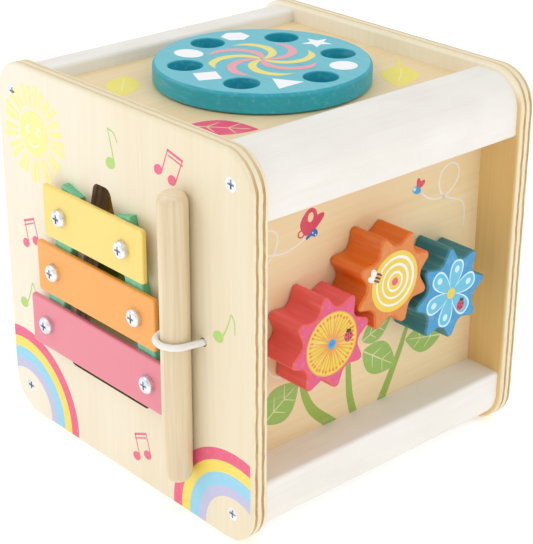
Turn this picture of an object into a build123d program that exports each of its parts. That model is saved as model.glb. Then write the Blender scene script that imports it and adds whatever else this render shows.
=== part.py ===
from build123d import *
import os
from math import asin, atan2, cos, degrees, hypot, pi, radians, sin, tan

# Wooden activity cube, millimetres, +Z up. The gear side faces -Y, the xylophone side faces -X and
# the shape sorting side faces +Y. The origin is on the floor, below the middle of the outline.

# ---- driving dimensions ------------------------------------------------------------------------

# cabinet
box_width = 187.0               # over both side panels, X
box_depth = 197.0               # side panels front to back, Y
box_height = 200.0              # side panels, Z
panel_t = 10.0
panel_corner_r = 20.0
panel_edge_r = 2.0
rail_inset = 2.5                # rails stand back from the panel outline
rail_depth = 28.0
rail_height = 31.0
rail_edge_r = 2.0
board_t = 6.5                   # the three boards
board_tongue = 6.0              # how far a board enters a rail
top_board_drop = 6.7            # top board below the rail tops
wood_gap = 0.05                 # all round a glued dowel or a screw shank

# screws that hold the panels to the rails
panel_screw_inset_y = 14.3
panel_screw_inset_z = 15.8
panel_screw_head_d = 7.2
panel_screw_head_h = 3.2
panel_screw_shank_d = 3.6
panel_screw_length = 32.0

# xylophone on the left panel
bar_t = 2.3
bar_height = 28.0
bar_pitch = 32.7
bar_lowest_z = 67.0
bar_corner_r = 2.0
bar_face_edge = 1.1
bar_lengths = {"pink_bar": 112.0, "orange_bar": 96.5, "yellow_bar": 81.0}
strip_t = 4.4
strip_width = 13.7
strip_set_in = 0.9              # strip middle nearer the slot than its screws
strip_above_screws = 15.0       # strip ends beyond the top and lowest screws
strip_below_screws = 4.5
felt_t = 0.6
felt_d = 9.0
bar_hole_d = 4.2
bar_screw_half_lowest = 42.0    # lowest pair of bar screws, from the middle
bar_screw_step_in = 8.4         # each next pair stands this much closer
bar_screw_shank_d = 3.0
bar_screw_head_d = 9.4
bar_screw_head_h = 3.2
bar_screw_length = 16.0
slot_above_bars = 22.6          # slot ends beyond the middles of the top and lowest bars
slot_below_bars = 21.6
slot_top_half = 6.3
slot_bottom_half = 35.0
slot_corner_r = 4.5

# beater and the elastic loop that holds it
beater_d = 14.5
beater_length = 150.0
beater_edge_r = 5.5
beater_bar_gap = 1.05           # beater to the end of the longest bar
beater_bottom_z = 24.0
beater_gap = 0.5                # beater to panel
cord_d = 3.3
cord_gap = 0.3                  # cord to beater
cord_z = 100.0
cord_hole_out = 1.8             # cord holes stand outside the wrapped cord, each side
cord_hole_d = 4.6
cord_bend_r = 18.0              # where the cord leaves its hole
cord_tail = 3.0                 # straight cord inside the panel
knot_d = 6.4
knot_length = 6.5
knot_board_gap = 0.5            # front knot to the gear board

# parts shared by the turning disc and the gears
axle_d = 10.0
axle_running_gap = 0.08         # axle to board hole, radial
end_play = 0.3                  # board to retaining washer
spacer_play = 0.15              # spacer to the turning part
spacer_d = 18.0
washer_d = 20.0
washer_t = 2.0
axle_screw_shank_d = 3.5
axle_screw_head_d = 7.5
axle_screw_head_h = 2.6
axle_screw_length = 14.0

# turning disc
disc_r = 55.0
disc_t = 10.0
disc_gap = 0.8                  # disc above the top board
disc_rim_r = 2.0
disc_bore_roof = 3.5
finger_hole_d = 17.3
finger_hole_floor = 1.7
finger_hole_circle_r = 39.5
finger_hole_count = 6
finger_hole_phase = 33.7

# gears: each outline is a star of straight flanks with rounded tips and hollows
gear_teeth = 8
gear_apex_r = 27.6              # where two flanks would cross at a tip
gear_hollow_r = 17.3            # where two flanks would cross in a hollow
gear_tip_r = 2.5
gear_valley_r = 5.0
gear_mesh_gap = 2.2             # tip of one gear to the root of the next
gear_face_inset = 2.0           # gear faces behind the panels' front edge
gear_back_gap = 0.7             # gear to board
gear_face_edge = 0.8
gear_bore_depth = 14.0
gear_middle_x = -0.5            # middle gear, from the middle of the cabinet
gear_rise = 13.5                # middle gear, from the middle of the window
gear_line_angle = 25.2          # outer gears below the middle one, degrees
gear_middle_phase = 18.2
gear_backlash_turn = 4.0        # blue gear rests against one flank

# shape sorting blocks, standing in their openings
block_length = 34.0
block_proud = 8.0               # out of the sorter board
block_gap = 0.8                 # all round a block in its opening
block_edge = 1.2
block_corner_r = 2.0
block_column = 52.0
block_row_half = 32.5           # rows above and below the middle of the window
circle_block_d = 36.0
square_block_side = 33.0
triangle_block_side = 42.0
star_block_r = 21.5
star_block_waist_r = 11.5
hexagon_block_flats = 34.0
oval_block_width = 42.0
oval_block_height = 29.0

# ---- places worked out from the dimensions -------------------------------------------------------

beater_standoff = beater_gap + beater_d / 2
cord_wrap_r = beater_d / 2 + cord_gap + cord_d / 2
cord_hole_half = cord_wrap_r + cord_hole_out
side_reach = beater_standoff + cord_wrap_r + cord_d / 2
body_x = side_reach / 2
left_face_x = body_x - box_width / 2
right_face_x = body_x + box_width / 2
inner_width = box_width - 2 * panel_t
front_y = -box_depth / 2
back_y = box_depth / 2
rail_top_z = box_height - rail_inset
rail_inner_y = box_depth / 2 - rail_inset - rail_depth
window_bottom_z = rail_inset + rail_height
window_top_z = rail_top_z - rail_height
window_middle_z = (window_bottom_z + window_top_z) / 2
board_face_y = rail_inner_y + board_t
beater_y = knot_board_gap + knot_d / 2 + cord_hole_half - rail_inner_y
xylophone_y = beater_y + beater_d / 2 + beater_bar_gap + max(bar_lengths.values()) / 2
top_board_z = rail_top_z - top_board_drop
bar_back_standoff = strip_t + felt_t
bar_face_standoff = bar_back_standoff + bar_t
strip_lean = degrees(atan2(bar_screw_step_in, bar_pitch))
slot_bottom_z = bar_lowest_z - slot_below_bars
slot_top_z = bar_lowest_z + (len(bar_lengths) - 1) * bar_pitch + slot_above_bars
disc_bore_depth = disc_t - disc_bore_roof
finger_hole_depth = disc_t - finger_hole_floor
gear_middle_z = window_middle_z + gear_rise
gear_front_y = front_y + gear_face_inset
gear_back_y = -board_face_y - gear_back_gap
gear_half_tooth = pi / gear_teeth
gear_flank_angle = atan2(
    gear_hollow_r * sin(gear_half_tooth), gear_apex_r - gear_hollow_r * cos(gear_half_tooth)
)
gear_outer_r = gear_apex_r - gear_tip_r * (1 / sin(gear_flank_angle) - 1)
gear_root_r = gear_hollow_r + gear_valley_r * (1 / sin(gear_flank_angle + gear_half_tooth) - 1)
gear_centres = gear_outer_r + gear_root_r + gear_mesh_gap
gear_pitch_angle = 360 / gear_teeth

parts = {}


def at(shape, x, y, z):
    """The shape moved from the origin to a place."""
    return Pos(x, y, z) * shape


def along_x(shape, direction):
    """A shape built along +Z, turned to run along +X or -X."""
    return Rot(0, 90 * direction, 0) * shape


def along_y(shape, direction):
    """A shape built along +Z, turned to run along +Y or -Y."""
    return Rot(-90 * direction, 0, 0) * shape


def box_between(low, high):
    """A box from its lowest to its highest corner."""
    size = [b - a for a, b in zip(low, high)]
    return at(Box(*size, align=(Align.MIN, Align.MIN, Align.MIN)), *low)


def rod(diameter, length):
    """A round bar that stands on the origin."""
    return Cylinder(diameter / 2, length, align=(Align.CENTER, Align.CENTER, Align.MIN))


# ---- screws --------------------------------------------------------------------------------------


def cross_recess(head_d, depth):
    """The cross-shaped drive recess at the origin, opening towards -Z."""
    arm = Box(0.62 * head_d, 0.15 * head_d, depth, align=(Align.CENTER, Align.CENTER, Align.MIN))
    return arm + Rot(0, 0, 90) * arm


def countersunk_screw():
    """Flat head at the origin's height, shank towards +Z."""
    head = Cone(
        panel_screw_head_d / 2, panel_screw_shank_d / 2, panel_screw_head_h,
        align=(Align.CENTER, Align.CENTER, Align.MIN),
    )
    shank = at(rod(panel_screw_shank_d, panel_screw_length - panel_screw_head_h), 0, 0, panel_screw_head_h)
    shank = chamfer(shank.edges().sort_by(Axis.Z)[-1], panel_screw_shank_d / 3)
    return head + shank - cross_recess(panel_screw_head_d, panel_screw_head_h / 2)


def pan_screw(head_d, head_h, shank_d, length):
    """Domed head below the origin's height, shank of the given length towards +Z."""
    head = at(rod(head_d, head_h), 0, 0, -head_h)
    head = fillet(head.edges().sort_by(Axis.Z)[0], head_h * 0.6)
    shank = rod(shank_d, length)
    shank = chamfer(shank.edges().sort_by(Axis.Z)[-1], shank_d / 3)
    return head + shank - at(cross_recess(head_d * 0.8, head_h / 2), 0, 0, -head_h)


def panel_screw_places():
    """The four (y, z) places of a side panel's screws."""
    half = box_depth / 2 - panel_screw_inset_y
    return [(y, z) for y in (-half, half) for z in (panel_screw_inset_z, box_height - panel_screw_inset_z)]


def panel_screws(face_x, inward):
    """The four screws of one side panel, as a group."""
    screw = along_x(countersunk_screw(), inward)
    return Compound(children=[at(screw, face_x, y, z) for y, z in panel_screw_places()])


# ---- cabinet -------------------------------------------------------------------------------------


def side_panel(face_x, inward):
    """A side panel with rounded outline and countersunk screw holes."""
    panel = box_between(
        (min(face_x, face_x + inward * panel_t), front_y, 0),
        (max(face_x, face_x + inward * panel_t), back_y, box_height),
    )
    panel = fillet(panel.edges().filter_by(Axis.X), panel_corner_r)
    rims = panel.faces().filter_by(Axis.X).edges()
    panel = fillet(rims, panel_edge_r)
    sink = Cone(
        panel_screw_head_d / 2 + wood_gap, panel_screw_shank_d / 2 + wood_gap, panel_screw_head_h,
        align=(Align.CENTER, Align.CENTER, Align.MIN),
    )
    hole = along_x(sink + rod(panel_screw_shank_d + 2 * wood_gap, panel_t), inward)
    for y, z in panel_screw_places():
        panel -= at(hole, face_x, y, z)
    return panel


def rail(side, level):
    """A rail between the panels. side is -1 at the front, level is +1 at the top."""
    outer_y = side * (box_depth / 2 - rail_inset)
    inner_y = side * rail_inner_y
    outer_z = rail_top_z if level > 0 else rail_inset
    inner_z = outer_z - level * rail_height
    body = at(
        Box(inner_width, rail_depth, rail_height), body_x, (outer_y + inner_y) / 2, (outer_z + inner_z) / 2
    )

    def from_outer_corner(edge):
        return hypot(edge.center().Y - outer_y, edge.center().Z - outer_z)

    long_edges = sorted(body.edges().filter_by(Axis.X), key=from_outer_corner)
    body = fillet(long_edges[0], panel_corner_r - rail_inset)
    long_edges = sorted(body.edges().filter_by(Axis.X), key=from_outer_corner)
    body = fillet(long_edges[2:4], rail_edge_r)
    rebate = Box(inner_width, board_t, board_tongue)
    body -= at(rebate, body_x, inner_y + side * board_t / 2, inner_z + level * board_tongue / 2)
    if level > 0:
        groove = Box(inner_width, board_tongue, board_t)
        body -= at(groove, body_x, inner_y + side * board_tongue / 2, top_board_z - board_t / 2)
    pilot = rod(panel_screw_shank_d + 2 * wood_gap, panel_screw_length - panel_t + 1)
    screw_z = box_height - panel_screw_inset_z if level > 0 else panel_screw_inset_z
    screw_y = side * (box_depth / 2 - panel_screw_inset_y)
    body -= at(along_x(pilot, 1), left_face_x + panel_t, screw_y, screw_z)
    body -= at(along_x(pilot, -1), right_face_x - panel_t, screw_y, screw_z)
    return body


def upright_board(side):
    """The board behind the gears, side -1, or behind the blocks, side +1, without its holes."""
    face_y = side * board_face_y
    back = side * rail_inner_y
    return box_between(
        (body_x - inner_width / 2, min(face_y, back), window_bottom_z - board_tongue),
        (body_x + inner_width / 2, max(face_y, back), window_top_z + board_tongue),
    )


def axle_hole_in_board():
    return rod(axle_d + 2 * axle_running_gap, board_t)


def top_board():
    reach = rail_inner_y + board_tongue
    board = box_between(
        (body_x - inner_width / 2, -reach, top_board_z - board_t), (body_x + inner_width / 2, reach, top_board_z)
    )
    return board - at(axle_hole_in_board(), body_x, 0, top_board_z - board_t)


# ---- turning parts -------------------------------------------------------------------------------


def axle(bore_depth, gap):
    """An axle with its inner end at the origin. It runs towards +Z, out of the part and the board."""
    length = bore_depth + gap + board_t + end_play
    body = rod(axle_d, length)
    body = chamfer(body.edges().group_by(Axis.Z)[0], wood_gap + 0.5)
    pilot_depth = axle_screw_length - washer_t + 1
    return body - at(rod(axle_screw_shank_d + 2 * wood_gap, pilot_depth), 0, 0, length - pilot_depth)


def retaining_washer():
    washer = rod(washer_d, washer_t)
    washer = chamfer(washer.edges(), 0.3)
    return washer - rod(axle_screw_shank_d + 2 * wood_gap, washer_t)


def spacer(gap):
    """A flat ring glued to the board, under or behind the turning part."""
    thickness = gap - spacer_play
    return rod(spacer_d, thickness) - rod(axle_d + 0.6, thickness)


def add_axle_set(name, bore_depth, gap, place):
    """Axle, washer and screw. place turns and moves a set that is built along +Z from the bore's end."""
    axle_end = bore_depth + gap + board_t + end_play
    screw = Rot(180, 0, 0) * pan_screw(
        axle_screw_head_d, axle_screw_head_h, axle_screw_shank_d, axle_screw_length
    )
    parts[f"{name}_axle"] = place * axle(bore_depth, gap)
    parts[f"{name}_washer"] = place * at(retaining_washer(), 0, 0, axle_end)
    parts[f"{name}_screw"] = place * at(screw, 0, 0, axle_end + washer_t)


def turn_disc():
    disc = rod(2 * disc_r, disc_t)
    disc = fillet(disc.edges().sort_by(Axis.Z)[-1], disc_rim_r)
    disc = fillet(disc.edges().sort_by(Axis.Z)[0], disc_rim_r / 3)
    finger_hole = at(rod(finger_hole_d, finger_hole_depth), finger_hole_circle_r, 0, disc_t - finger_hole_depth)
    for i in range(finger_hole_count):
        disc -= Rot(0, 0, finger_hole_phase + i * 360 / finger_hole_count) * finger_hole
    mouths = [
        edge
        for edge in disc.edges().filter_by(GeomType.CIRCLE)
        if abs(edge.radius - finger_hole_d / 2) < 1e-3 and abs(edge.center().Z - disc_t) < 1e-3
    ]
    disc = fillet(mouths, disc_rim_r / 3)
    disc -= rod(axle_d + 2 * wood_gap, disc_bore_depth)
    return at(disc, body_x, 0, top_board_z + disc_gap)


def gear_outline():
    """The outline of a gear, with a tip on +X."""
    corners = []
    for i in range(2 * gear_teeth):
        reach = gear_apex_r if i % 2 == 0 else gear_hollow_r
        corners.append((reach * cos(i * gear_half_tooth), reach * sin(i * gear_half_tooth)))
    outline = make_face(Polyline(*corners, close=True))
    middle = (gear_apex_r + gear_hollow_r) / 2
    tips = [v for v in outline.vertices() if hypot(v.X, v.Y) > middle]
    outline = fillet(tips, gear_tip_r)
    hollows = [v for v in outline.vertices() if hypot(v.X, v.Y) < gear_hollow_r + 1e-3]
    return fillet(hollows, gear_valley_r)


def gear(centre_x, centre_z, phase):
    """A gear block facing -Y, with a blind bore from behind."""
    thickness = gear_back_y - gear_front_y
    body = extrude(Rot(0, 0, phase) * gear_outline(), thickness)
    front_edges = body.faces().sort_by(Axis.Z)[-1].edges()
    body = chamfer(front_edges, gear_face_edge)
    body -= rod(axle_d + 2 * wood_gap, gear_bore_depth)
    return at(Rot(90, 0, 0) * body, centre_x, gear_back_y, centre_z)


def gear_places():
    """Centre and tooth phase of each gear, so that the teeth interleave on the lines of centres."""
    line = radians(gear_line_angle)
    run = gear_centres * cos(line)
    drop = gear_centres * sin(line)
    middle_x = body_x + gear_middle_x
    return {
        "orange_gear": (middle_x, gear_middle_z, gear_middle_phase),
        "pink_gear": (middle_x - run, gear_middle_z - drop, meshed_phase(gear_line_angle)),
        "blue_gear": (
            middle_x + run, gear_middle_z - drop, meshed_phase(180 - gear_line_angle) + gear_backlash_turn
        ),
    }


def meshed_phase(line_angle):
    """Tooth phase of an outer gear that lies opposite line_angle from the middle one."""
    return (gear_pitch_angle / 2 - gear_middle_phase + 2 * line_angle) % gear_pitch_angle


# ---- xylophone -----------------------------------------------------------------------------------


def bar_rows():
    """Each bar's name, height and the half spacing of its screws."""
    return [
        (name, bar_lowest_z + i * bar_pitch, bar_screw_half_lowest - i * bar_screw_step_in)
        for i, name in enumerate(bar_lengths)
    ]


def bar_screw_places():
    return [
        (xylophone_y + side * half, z) for name, z, half in bar_rows() for side in (-1, 1)
    ]


def tone_bar(length, z, screw_half):
    face_x = left_face_x - bar_face_standoff
    bar = box_between(
        (face_x, xylophone_y - length / 2, z - bar_height / 2),
        (face_x + bar_t, xylophone_y + length / 2, z + bar_height / 2),
    )
    bar = fillet(bar.edges().filter_by(Axis.X), bar_corner_r)
    bar = fillet(bar.faces().sort_by(Axis.X)[0].edges(), bar_face_edge)
    hole = along_x(rod(bar_hole_d, bar_t), 1)
    for side in (-1, 1):
        bar -= at(hole, face_x, xylophone_y + side * screw_half, z)
    return bar


def support_strip(side):
    """A leaning strip behind the bars. side is -1 nearer the front, +1 nearer the back."""
    rows = bar_rows()
    low_z, low_half = rows[0][1], rows[0][2]
    high_z, high_half = rows[-1][1], rows[-1][2]
    length = hypot(high_z - low_z, high_half - low_half) + strip_above_screws + strip_below_screws
    middle_z = (low_z + high_z) / 2
    middle_half = (low_half + high_half) / 2 - strip_set_in
    lift = (strip_above_screws - strip_below_screws) / 2
    body = at(Box(strip_t, strip_width, length), 0, 0, lift)
    body = chamfer(body.faces().sort_by(Axis.X)[0].edges(), strip_t / 8)
    body = Rot(side * strip_lean, 0, 0) * body
    body = at(body, left_face_x - strip_t / 2, xylophone_y + side * middle_half, middle_z)
    for y, z in bar_screw_places():
        hole = rod(bar_screw_shank_d + 2 * wood_gap, strip_t)
        body -= at(along_x(hole, 1), left_face_x - strip_t, y, z)
    return body


def bar_felts():
    ring = along_x(rod(felt_d, felt_t) - rod(bar_hole_d, felt_t), 1)
    return Compound(children=[at(ring, left_face_x - bar_back_standoff, y, z) for y, z in bar_screw_places()])


def bar_screws():
    screw = along_x(
        pan_screw(bar_screw_head_d, bar_screw_head_h, bar_screw_shank_d, bar_screw_length), 1
    )
    return Compound(children=[at(screw, left_face_x - bar_face_standoff, y, z) for y, z in bar_screw_places()])


def resonance_slot():
    """The tapered opening behind the bars, right through the panel."""
    corners = [
        (xylophone_y - slot_bottom_half, slot_bottom_z),
        (xylophone_y + slot_bottom_half, slot_bottom_z),
        (xylophone_y + slot_top_half, slot_top_z),
        (xylophone_y - slot_top_half, slot_top_z),
    ]
    outline = make_face(Polyline(*corners, close=True))
    outline = fillet(outline.vertices(), slot_corner_r)
    return at(extrude(Plane.YZ * outline, panel_t), left_face_x, 0, 0)


def left_panel():
    panel = side_panel(left_face_x, 1)
    panel -= resonance_slot()
    pilot = rod(bar_screw_shank_d + 2 * wood_gap, bar_screw_length - bar_face_standoff + wood_gap)
    for y, z in bar_screw_places():
        panel -= at(along_x(pilot, 1), left_face_x, y, z)
    cord_hole = along_x(rod(cord_hole_d, panel_t), 1)
    for side in (-1, 1):
        panel -= at(cord_hole, left_face_x, beater_y + side * cord_hole_half, cord_z)
    return panel


# ---- beater and elastic loop ---------------------------------------------------------------------


def beater():
    stick = rod(beater_d, beater_length)
    stick = fillet(stick.edges().filter_by(GeomType.CIRCLE), beater_edge_r)
    return at(stick, left_face_x - beater_standoff, beater_y, beater_bottom_z)


def elastic_loop():
    """The cord: out of one hole, round the beater and back into the other hole."""
    reach = beater_standoff + cord_wrap_r
    hole_to_axis = hypot(cord_hole_half, beater_standoff)
    lean = atan2(cord_hole_half, beater_standoff) - asin(cord_wrap_r / hole_to_axis)
    corner_half = cord_hole_half - reach * tan(lean)
    inside = left_face_x + panel_t + cord_tail
    route = []
    for side in (-1, 1):
        leg = [
            (inside, beater_y + side * cord_hole_half, cord_z),
            (left_face_x, beater_y + side * cord_hole_half, cord_z),
            (left_face_x - reach, beater_y + side * corner_half, cord_z),
        ]
        route += leg if side < 0 else leg[::-1]
    front_r = corner_half / tan((pi / 2 - lean) / 2)
    line = FilletPolyline(*route, radius=[cord_bend_r, front_r * 0.995, front_r * 0.995, cord_bend_r])
    section = Plane(origin=route[0], z_dir=(-1, 0, 0)) * Circle(cord_d / 2)
    return sweep(section, path=line)


def elastic_knots():
    knot = rod(knot_d, knot_length)
    knot = fillet(knot.edges(), knot_length * 0.4)
    knot = along_x(knot, 1)
    inside = left_face_x + panel_t + cord_tail
    return Compound(children=[at(knot, inside, beater_y + side * cord_hole_half, cord_z) for side in (-1, 1)])


# ---- shape sorting side --------------------------------------------------------------------------


def corners_round(reaches, turn=0):
    """One corner for each reach, evenly spaced round the origin, the first one at the top."""
    step = 2 * pi / len(reaches)
    return [(reach * sin(turn + i * step), reach * cos(turn + i * step)) for i, reach in enumerate(reaches)]


def rounded_polygon(corners, grow):
    """A flat polygon, grown all round if asked, with rounded corners."""
    outline = make_face(Polyline(*corners, close=True))
    if grow:
        outline = offset(outline, amount=grow, kind=Kind.INTERSECTION)
    return fillet(outline.vertices(), block_corner_r)


def block_outlines(grow=0):
    """Each block's flat outline, grown all round if asked, with its column and row on the board."""
    square = corners_round([square_block_side / 2 / cos(pi / 4)] * 4, pi / 4)
    triangle = corners_round([triangle_block_side / 2 / cos(pi / 6)] * 3)
    hexagon = corners_round([hexagon_block_flats / 2 / cos(pi / 6)] * 6)
    star = corners_round([star_block_r, star_block_waist_r] * 5)
    return {
        "circle_block": (Circle(circle_block_d / 2 + grow), -1, -1),
        "square_block": (rounded_polygon(square, grow), 0, -1),
        "triangle_block": (rounded_polygon(triangle, grow), 1, -1),
        "star_block": (rounded_polygon(star, grow), -1, 1),
        "oval_block": (Ellipse(oval_block_width / 2 + grow, oval_block_height / 2 + grow), 0, 1),
        "hexagon_block": (rounded_polygon(hexagon, grow), 1, 1),
    }


def stood_up(solid, column, row, outer_y):
    """A solid drawn out along +Z from a flat outline, turned so that it ends at outer_y facing +Y."""
    z = window_middle_z + row * block_row_half
    return at(Rot(90, 0, 0) * solid, body_x + column * block_column, outer_y, z)


def block(outline, column, row):
    solid = extrude(outline, block_length)
    ends = solid.faces().filter_by(Axis.Z).edges()
    solid = chamfer(ends, block_edge)
    return stood_up(solid, column, row, board_face_y + block_proud)


def sorter_board():
    board = upright_board(1)
    for outline, column, row in block_outlines(block_gap).values():
        board -= stood_up(extrude(outline, board_t), column, row, board_face_y)
    return board


# ---- the assembly --------------------------------------------------------------------------------


def build():
    parts["left_panel"] = left_panel()
    parts["right_panel"] = side_panel(right_face_x, -1)
    for side, place in ((-1, "front"), (1, "back")):
        parts[f"top_{place}_rail"] = rail(side, 1)
        parts[f"bottom_{place}_rail"] = rail(side, -1)
    parts["top_board"] = top_board()
    parts["left_panel_screws"] = panel_screws(left_face_x, 1)
    parts["right_panel_screws"] = panel_screws(right_face_x, -1)

    for name, z, screw_half in bar_rows():
        parts[name] = tone_bar(bar_lengths[name], z, screw_half)
    parts["front_strip"] = support_strip(-1)
    parts["back_strip"] = support_strip(1)
    parts["bar_felts"] = bar_felts()
    parts["bar_screws"] = bar_screws()

    parts["beater"] = beater()
    parts["elastic_loop"] = elastic_loop()
    parts["elastic_knots"] = elastic_knots()

    parts["turn_disc"] = turn_disc()
    parts["disc_spacer"] = at(spacer(disc_gap), body_x, 0, top_board_z)
    disc_place = Pos(body_x, 0, top_board_z + disc_gap + disc_bore_depth) * Rot(180, 0, 0)
    add_axle_set("disc", disc_bore_depth, disc_gap, disc_place)

    board = upright_board(-1)
    spacers = []
    for name, (x, z, phase) in gear_places().items():
        parts[name] = gear(x, z, phase)
        place = Pos(x, gear_back_y - gear_bore_depth, z) * Rot(-90, 0, 0)
        add_axle_set(name, gear_bore_depth, gear_back_gap, place)
        board -= at(along_y(axle_hole_in_board(), 1), x, -board_face_y, z)
        spacers.append(at(along_y(spacer(gear_back_gap), -1), x, -board_face_y, z))
    parts["gear_board"] = board
    parts["gear_spacers"] = Compound(children=spacers)

    parts["sorter_board"] = sorter_board()
    for name, (outline, column, row) in block_outlines().items():
        parts[name] = block(outline, column, row)


build()
os.makedirs("parts", exist_ok=True)
for node, shape in parts.items():
    export_step(shape, f"parts/{node}.step")
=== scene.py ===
from math import cos, hypot, log, pi, radians, sin

import bmesh
import bpy
from mathutils import Matrix, Vector
from mathutils.geometry import tessellate_polygon


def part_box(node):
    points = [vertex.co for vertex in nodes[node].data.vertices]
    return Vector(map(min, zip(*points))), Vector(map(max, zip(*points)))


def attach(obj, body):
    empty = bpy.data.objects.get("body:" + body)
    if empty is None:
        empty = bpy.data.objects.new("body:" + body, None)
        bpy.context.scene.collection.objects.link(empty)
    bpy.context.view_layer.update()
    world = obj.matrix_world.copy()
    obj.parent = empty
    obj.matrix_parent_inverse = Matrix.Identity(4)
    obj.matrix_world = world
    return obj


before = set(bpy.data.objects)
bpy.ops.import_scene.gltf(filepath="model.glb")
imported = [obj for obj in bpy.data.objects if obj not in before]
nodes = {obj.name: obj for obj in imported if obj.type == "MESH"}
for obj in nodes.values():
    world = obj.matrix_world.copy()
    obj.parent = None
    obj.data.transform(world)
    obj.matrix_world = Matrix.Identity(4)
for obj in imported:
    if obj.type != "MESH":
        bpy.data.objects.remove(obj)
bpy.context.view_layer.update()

# Wooden activity cube. Lengths are in metres, and prints are drawn in millimetres on their own face.

MM = 0.001

# ---- places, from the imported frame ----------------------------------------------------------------

left_low, left_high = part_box("left_panel")
right_low, right_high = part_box("right_panel")
disc_low, disc_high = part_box("turn_disc")
cabinet_x = (left_low.x + right_high.x) / 2
cabinet_top = left_high.z
top_board_low, top_board_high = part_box("top_board")
gear_board_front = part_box("gear_board")[0].y
sorter_board_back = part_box("sorter_board")[1].y

# ---- camera and light -----------------------------------------------------------------------------

camera_azimuth = radians(-42.03)
camera_elevation = radians(24.9)
camera_roll = radians(0.3)
camera_distance = 0.8289
camera_lens = 104.43            # on a 36 mm sensor
aim_right = 2.54 * MM           # where the camera looks, from the middle of the cabinet
aim_up = -13.88 * MM


def add_camera():
    back = Vector((
        sin(camera_azimuth) * cos(camera_elevation),
        -cos(camera_azimuth) * cos(camera_elevation),
        sin(camera_elevation),
    ))
    right = Vector((cos(camera_azimuth), sin(camera_azimuth), 0))
    up = back.cross(right)
    target = Vector((cabinet_x, 0, cabinet_top / 2)) + aim_right * right + aim_up * up
    turned_right = cos(camera_roll) * right + sin(camera_roll) * up
    turned_up = cos(camera_roll) * up - sin(camera_roll) * right
    camera = bpy.data.objects.new("camera", bpy.data.cameras.new("camera"))
    camera.matrix_world = Matrix((turned_right, turned_up, back)).transposed().to_4x4()
    camera.location = target + camera_distance * back
    camera.data.lens = camera_lens
    camera.data.clip_start = 0.01
    bpy.context.scene.collection.objects.link(camera)
    bpy.context.scene.camera = camera


def add_softbox(name, place, size, power, colour=(1, 1, 1)):
    """A square soft light that faces the middle of the cube."""
    light = bpy.data.lights.new(name, "AREA")
    light.size = size
    light.energy = power
    light.color = colour
    lamp = bpy.data.objects.new(name, light)
    lamp.location = place
    towards = Vector((cabinet_x, 0, cabinet_top / 2)) - lamp.location
    lamp.rotation_euler = towards.to_track_quat("-Z", "Y").to_euler()
    bpy.context.scene.collection.objects.link(lamp)


def add_studio():
    world = bpy.data.worlds.new("studio")
    world.use_nodes = True
    background = world.node_tree.nodes["Background"]
    background.inputs["Color"].default_value = (1, 1, 1, 1)
    background.inputs["Strength"].default_value = 0.87
    bpy.context.scene.world = world
    bpy.context.scene.view_settings.view_transform = "Standard"
    add_softbox("key_light", (-0.95, 0.60, 0.95), 0.9, 3.1)
    add_softbox("front_light", (0.4, -1.5, 1.2), 1.2, 3.1)


# ---- material nodes -------------------------------------------------------------------------------


def srgb(red, green, blue):
    """A colour given as it looks on a screen, 0 to 255, as the linear colour that shaders take."""
    shares = (red / 255, green / 255, blue / 255)
    linear = [c / 12.92 if c <= 0.04 else ((c + 0.055) / 1.055) ** 2.4 for c in shares]
    return (*linear, 1.0)


def scaled(colour, share):
    """The same colour, brighter or darker by that share."""
    return (*(c * share for c in colour[:3]), 1.0)


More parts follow.
